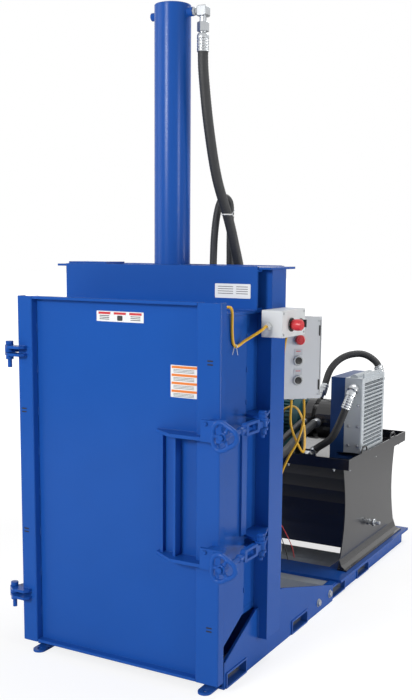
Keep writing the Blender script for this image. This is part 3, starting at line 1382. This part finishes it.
def enclosure_arm():
    """The folded arm that carries the box from the chamber's back wall."""
    corner = BOX_TURNED @ Vector((-BOX_WIDTH / 2, BOX_DEPTH, 0))
    edge = BOX_TURNED @ Vector((BOX_WIDTH / 4, BOX_DEPTH, 0))
    back_normal = (BOX_TURNED.to_3x3() @ Vector((0, 1, 0))).xy
    wall_y = CHAMBER_BACK + GAP
    near, far = corner.xy + back_normal * GAP, edge.xy + back_normal * GAP
    thick = back_normal * ARM_THICKNESS
    foot = near.x - ARM_THICKNESS * ARM_RUN_SHARE
    outline = [
        (near.x, near.y), (far.x, far.y), (far.x + thick.x, far.y + thick.y),
        (near.x, near.y + thick.y * 2), (foot, wall_y + ARM_THICKNESS),
        (foot - ARM_HEIGHT / 3, wall_y + ARM_THICKNESS), (foot - ARM_HEIGHT / 3, wall_y),
        (foot + ARM_THICKNESS / 2, wall_y),
    ]
    low = BOX_BOTTOM + ARM_RISE
    return finish(prism(outline, "z", low, low + ARM_HEIGHT), "enclosure_arm", GREY)


# Pendant station

def pendant_box():
    """The operator's station on the column, its buttons facing +X."""
    left = COLUMN_OUT + PENDANT_GAP
    right = left + PENDANT_WIDTH
    back = PENDANT_FRONT + PENDANT_DEPTH
    top = PENDANT_BOTTOM + PENDANT_HEIGHT
    box = block((left, PENDANT_FRONT, PENDANT_BOTTOM), (right, back, top))
    box = round_edges(box, PENDANT_EDGE, 2, lambda a, b: abs(a.x - b.x) > PENDANT_EDGE)
    middle = left + PENDANT_WIDTH * PENDANT_GLAND_SHARE
    z = PENDANT_BOTTOM + PENDANT_HEIGHT * PENDANT_GLAND_RISE_SHARE
    gland = rod((middle, PENDANT_FRONT - GLAND_LENGTH, z), (middle, PENDANT_FRONT + OVERRUN, z),
                GLAND_RADIUS)
    rear = rod((middle, back - OVERRUN, z), (middle, back + GLAND_LENGTH, z), GLAND_RADIUS)
    box = join(box, gland, rear)
    for share in (PENDANT_MUSHROOM_SHARE, PENDANT_SELECTOR_SHARE):
        y = PENDANT_FRONT + PENDANT_DEPTH * share
        height = pendant_button_height()
        box = cut(box, rod((right - BUTTON_LENGTH * 2, y, height), (right + OVERRUN, y, height),
                           SELECTOR_RADIUS + RUNNING))
    return finish(box, "pendant_box", GREY)


def pendant_button_height():
    return PENDANT_BOTTOM + PENDANT_HEIGHT * PENDANT_BUTTON_RISE_SHARE


def pendant_face():
    return COLUMN_OUT + PENDANT_GAP + PENDANT_WIDTH


def pendant_mushroom():
    """The red push head of the pendant."""
    face = pendant_face()
    centre = (face, PENDANT_FRONT + PENDANT_DEPTH * PENDANT_MUSHROOM_SHARE, pendant_button_height())
    head = BUTTON_TRAVEL + RUNNING
    front = head + MUSHROOM_HEAD * PENDANT_HEAD_LENGTH_SHARE
    edge = MUSHROOM_RADIUS * PENDANT_HEAD_FACE_SHARE
    stem = -BUTTON_LENGTH
    profile = [(0, stem), (SELECTOR_RADIUS, stem), (SELECTOR_RADIUS, head),
               (edge, head), (MUSHROOM_RADIUS, head + MUSHROOM_HEAD), (edge, front), (0, front)]
    return finish(turned(profile, "x", centre, SMALL_SIDES), "pendant_mushroom", RED, centre)


def pendant_selector():
    """A black two-way knob with a grip bar."""
    x, z = pendant_face(), pendant_button_height()
    y = PENDANT_FRONT + PENDANT_DEPTH * PENDANT_SELECTOR_SHARE
    centre = (x, y, z)
    knob = turned([(0, -BUTTON_LENGTH), (SELECTOR_RADIUS, -BUTTON_LENGTH),
                   (SELECTOR_RADIUS, SELECTOR_LENGTH / 2), (0, SELECTOR_LENGTH / 2)],
                  "x", centre, SMALL_SIDES)
    reach = SELECTOR_RADIUS * SELECTOR_GRIP_SHARE
    grip = block((x + SELECTOR_LENGTH / 4, y - SELECTOR_RADIUS / 3, z - reach),
                 (x + SELECTOR_LENGTH, y + SELECTOR_RADIUS / 3, z + reach))
    return finish(join(knob, grip), "pendant_selector", BLACK, centre)


# Hoses and cables

def ram_elbow():
    """The steel elbow and hose ferrule at the ram's upper port."""
    z = BARREL_TOP - PORT_DROP
    start = BARREL_RADIUS + PORT_LENGTH + GAP
    x = BARREL_RADIUS + ELBOW_OUT
    across = rod((start, 0, z), (x + PORT_RADIUS, 0, z), PORT_RADIUS * ELBOW_ACROSS_SHARE)
    bottom = z - ELBOW_DROP
    down = rod((x, 0, bottom), (x, 0, z + PORT_RADIUS), PORT_RADIUS * ELBOW_DOWN_SHARE)
    nut_bottom, nut_top = (z - ELBOW_DROP * share for share in ELBOW_NUT_SHARES)
    nut = rod((x, 0, nut_bottom), (x, 0, nut_top), FERRULE_RADIUS, HEX_SIDES)
    ferrule = rod((x, 0, bottom - GAP * 2), (x, 0, bottom + FERRULE_LENGTH), FERRULE_RADIUS)
    return finish(join(across, down, nut, ferrule), "ram_elbow", STEEL)


def hoses():
    """The ram's two hoses over the header and down the back to the power unit."""
    x = BARREL_RADIUS + ELBOW_OUT
    z = BARREL_TOP - PORT_DROP - ELBOW_DROP - GAP * 3
    behind = CHAMBER_BACK + MAIN_HOSE_RADIUS * 3
    rest = ROOF_TOP + MAIN_HOSE_RADIUS * 2
    pump_z = LID_TOP + MOTOR_AXIS_RISE
    end_x, end_y = PUMP_START + MAIN_PORT_OUT, PUMP_PORT_FACE - GAP
    route = [
        (x, 0.000, z), (x, 0.000, z - 0.045), (x + 0.002, 0.004, z - 0.130), (x + 0.010, 0.028, z - 0.300),
        (x + 0.022, 0.070, z - 0.480), (x + 0.044, 0.130, z - 0.640),
        (x + 0.055, HEADER_HALF_DEPTH + 0.060, z - 0.760),
        (x + 0.055, CHAMBER_BACK - 0.110, rest + 0.030), (x + 0.045, CHAMBER_BACK, rest + 0.012),
        (x + 0.035, behind, CHAMBER_TOP - 0.060), (x + 0.025, behind, 1.000),
        (x + 0.025, behind + 0.015, 0.800), (x + 0.020, behind + 0.110, 0.650),
        (end_x + 0.004, 0.680, 0.615), (end_x, 0.860, 0.655), (end_x, end_y - 0.080, pump_z - 0.006),
        (end_x, end_y - 0.040, pump_z), (end_x, end_y, pump_z),
    ]
    tube("hose_main", route, MAIN_HOSE_RADIUS, RUBBER)
    back = HEADER_HALF_DEPTH + RETURN_HOSE_RADIUS + HOSE_CLEARANCE
    end_x = PUMP_START + RETURN_PORT_OUT
    route = [
        (0.100, back, ROOF_TOP + GAP * 2), (0.100, back, 1.340), (0.100, back, 1.420),
        (0.105, back, 1.560),
        (0.118, back + 0.004, 1.660), (0.134, back + 0.018, 1.700),
        (0.146, back + 0.044, 1.680), (0.140, back + 0.060, 1.610), (0.134, back + 0.072, 1.500),
        (0.126, back + 0.092, 1.400), (0.110, CHAMBER_BACK - 0.060, rest),
        (0.090, CHAMBER_BACK + 0.022, rest - 0.014), (0.070, behind + 0.008, CHAMBER_TOP - 0.050),
        (0.055, behind + 0.010, 1.150), (0.055, behind + 0.010, 1.000),
        (0.060, behind + 0.020, 0.780), (0.068, behind + 0.110, 0.630),
        (end_x - 0.002, 0.680, 0.600), (end_x, 0.860, 0.650), (end_x, end_y - 0.080, pump_z - 0.006),
        (end_x, end_y - 0.040, pump_z), (end_x, end_y, pump_z),
    ]
    tube("hose_return", route, RETURN_HOSE_RADIUS, RUBBER)


def cooler_hoses():
    """The thick hose from the cooler to the tank and the arched one behind it."""
    port_x = SHROUD_LEFT + SHROUD_THICKNESS + COOLER_THICKNESS * COOLER_PORT_SHARE
    top = LID_TOP + SHROUD_BOTTOM + SHROUD_HEIGHT
    port_z = top - COOLER_CAP * COOLER_PORT_DROP_SHARE
    front, back = SHROUD_FRONT - OVERRUN - GAP, SHROUD_FRONT + SHROUD_WIDTH + OVERRUN + GAP
    route = [
        (port_x, front, port_z), (port_x, front - 0.020, port_z),
        (port_x - 0.012, front - 0.050, port_z - 0.060), (port_x - 0.045, front - 0.055, port_z - 0.150),
        (port_x - 0.085, front - 0.055, port_z - 0.225), (port_x - 0.150, front - 0.050, port_z - 0.275),
        (port_x - 0.190, front - 0.045, LID_TOP + COOLER_HOSE_RADIUS + 0.004),
    ]
    tube("cooler_hose_lower", route, COOLER_HOSE_RADIUS, RUBBER)
    route = [
        (port_x, back, port_z), (port_x, back + 0.022, port_z),
        (port_x - 0.006, back + 0.055, port_z + 0.022),
        (port_x - 0.030, back + 0.070, port_z + 0.085), (port_x - 0.100, back + 0.060, port_z + 0.125),
        (port_x - 0.180, back + 0.020, port_z + 0.110), (port_x - 0.230, back - 0.030, port_z + 0.050),
        (port_x - 0.240, MOTOR_Y + COVER_RADIUS * 0.5, LID_TOP + MOTOR_AXIS_RISE + COVER_RADIUS
         + COOLER_HOSE_RADIUS * 1.6),
    ]
    tube("cooler_hose_upper", route, COOLER_HOSE_RADIUS, RUBBER)


def cables():
    """The yellow control cables and the supply cable with its bare conductors."""
    gland_x = COLUMN_OUT + PENDANT_GAP + PENDANT_WIDTH * PENDANT_GLAND_SHARE
    gland_z = PENDANT_BOTTOM + PENDANT_HEIGHT * PENDANT_GLAND_RISE_SHARE
    front = PENDANT_FRONT - GLAND_LENGTH - GAP
    beside = BASE_HALF_WIDTH + CABLE_RADIUS + CABLE_CLEARANCE
    route = [
        (gland_x, front, gland_z), (gland_x, front - 0.010, gland_z),
        (gland_x - 0.004, front - 0.032, gland_z - 0.012),
        (beside + 0.012, front - 0.070, gland_z - 0.045), (beside, front - 0.105, gland_z - 0.062),
        (beside, front - 0.132, gland_z - 0.050), (beside, front - 0.142, gland_z - 0.010),
        (beside, front - 0.145, ROOF_TOP + 0.010), (beside - 0.020, front - 0.140, ROOF_TOP + 0.020),
        (beside - 0.070, front - 0.100, ROOF_TOP + CABLE_RADIUS + CABLE_CLEARANCE),
    ]
    tube("pendant_cable", route, CABLE_RADIUS, YELLOW)
    rear = PENDANT_FRONT + PENDANT_DEPTH + GLAND_LENGTH + GAP
    route = [
        (gland_x, rear, gland_z), (gland_x, rear + 0.010, gland_z),
        (gland_x - 0.002, rear + 0.034, gland_z - 0.006),
        (0.408, 0.150, 1.200), (0.370, 0.200, 1.120), (0.340, 0.250, 1.000),
        (0.300, 0.330, 0.860), (0.270, 0.395, 0.730), (0.250, 0.430, 0.670),
        (0.234, 0.452, 0.700),
        box_point(-BOX_GLAND_X, BOX_DEPTH * BOX_GLAND_DEPTH_SHARE, -GLAND_LENGTH - 0.100),
        box_point(-BOX_GLAND_X, BOX_DEPTH * BOX_GLAND_DEPTH_SHARE, -GLAND_LENGTH - GAP),
    ]
    tube("control_cable", route, CABLE_RADIUS, YELLOW)
    motor_x = MOTOR_LEFT + MOTOR_LENGTH / 2 + TERMINAL_BOX_SIZE / 2 + GAP
    route = [
        box_point(0, BOX_DEPTH * BOX_GLAND_DEPTH_SHARE, -GLAND_LENGTH - GAP),
        box_point(0, BOX_DEPTH * BOX_GLAND_DEPTH_SHARE, -GLAND_LENGTH - 0.110), (0.290, 0.560, 0.680),
        (0.265, 0.660, 0.660), (0.200, 0.800, 0.740), (0.100, 0.940, 0.785), (0.005, 1.030, 0.760),
        (motor_x + 0.014, MOTOR_Y - MOTOR_RADIUS - TERMINAL_BOX_RISE / 2, LID_TOP + MOTOR_AXIS_RISE),
        (motor_x, MOTOR_Y - MOTOR_RADIUS - TERMINAL_BOX_RISE / 2, LID_TOP + MOTOR_AXIS_RISE),
    ]
    tube("motor_cable", route, CABLE_RADIUS, YELLOW)
    tube("supply_cable", SUPPLY_ROUTE, CABLE_RADIUS, YELLOW)
    conductors()


BOX_GLAND_X = BOX_WIDTH / 2 * BOX_GLAND_PLACE_SHARE
SUPPLY_ROUTE = [
    box_point(BOX_GLAND_X, BOX_DEPTH * BOX_GLAND_DEPTH_SHARE, -GLAND_LENGTH - GAP),
    box_point(BOX_GLAND_X, BOX_DEPTH * BOX_GLAND_DEPTH_SHARE, -GLAND_LENGTH - 0.090),
    (0.296, 0.515, 0.720), (0.262, 0.488, 0.640), (0.238, 0.472, 0.560), (0.230, 0.466, 0.480),
    (0.230, 0.466, 0.400),
]


def conductors():
    """Three stripped conductors fanned out below the supply cable."""
    end = Vector(SUPPLY_ROUTE[-1])
    top = end - Vector((0, 0, GAP))
    neck = CABLE_RADIUS * CONDUCTOR_NECK_SHARE
    item = rod(top, top - Vector((0, 0, CABLE_RADIUS)), neck, THIN_SIDES)
    for spread, length in zip(CONDUCTOR_SPREADS, CONDUCTOR_LENGTHS):
        to_bend, to_tip = (Vector((spread * right, spread * back, length * up))
                           for right, back, up in (CONDUCTOR_BEND_SHARES, CONDUCTOR_TIP_SHARES))
        start = top - Vector((0, 0, CABLE_RADIUS / 2))
        bend = start + to_bend
        item = join(item, rod(start, bend, CONDUCTOR_RADIUS, THIN_SIDES))
        item = join(item, rod(bend + Vector((0, 0, CONDUCTOR_RADIUS)), bend + to_tip,
                              CONDUCTOR_RADIUS, THIN_SIDES))
    return finish(item, "supply_conductors", YELLOW)


def build():
    clear_scene()
    for side in (-1, 1):
        side_plate(side)
        front_post(side)
        column(side)
        header_channel(side)
    for number in range(len(FORK_CENTRES)):
        fork_tube(number)
    for piece in (chamber_bed, chamber_shell, chamber_roof, header_top_plate, lifting_pad,
                  cylinder_barrel, ram_rod, platen, door_panel, hinge_stile, latch_stile,
                  latch_frame, skid_frame, oil_tank, tank_lid, drain_valve,
                  motor, pump_housing, fan_shroud, oil_cooler, breather, enclosure_body,
                  enclosure_lid, estop_button, enclosure_arm, pendant_box, pendant_mushroom,
                  pendant_selector, ram_elbow, hoses, cooler_hoses, cables):
        piece()
    push_button("start_button", START_RISE, BLACK)
    push_button("stop_button", STOP_RISE, BLACK)
    for number in range(len(LATCH_HEIGHTS)):
        hinge_pin(number)
        latch_bracket(number)
        swing_bolt(number)
        handwheel(number)


build()
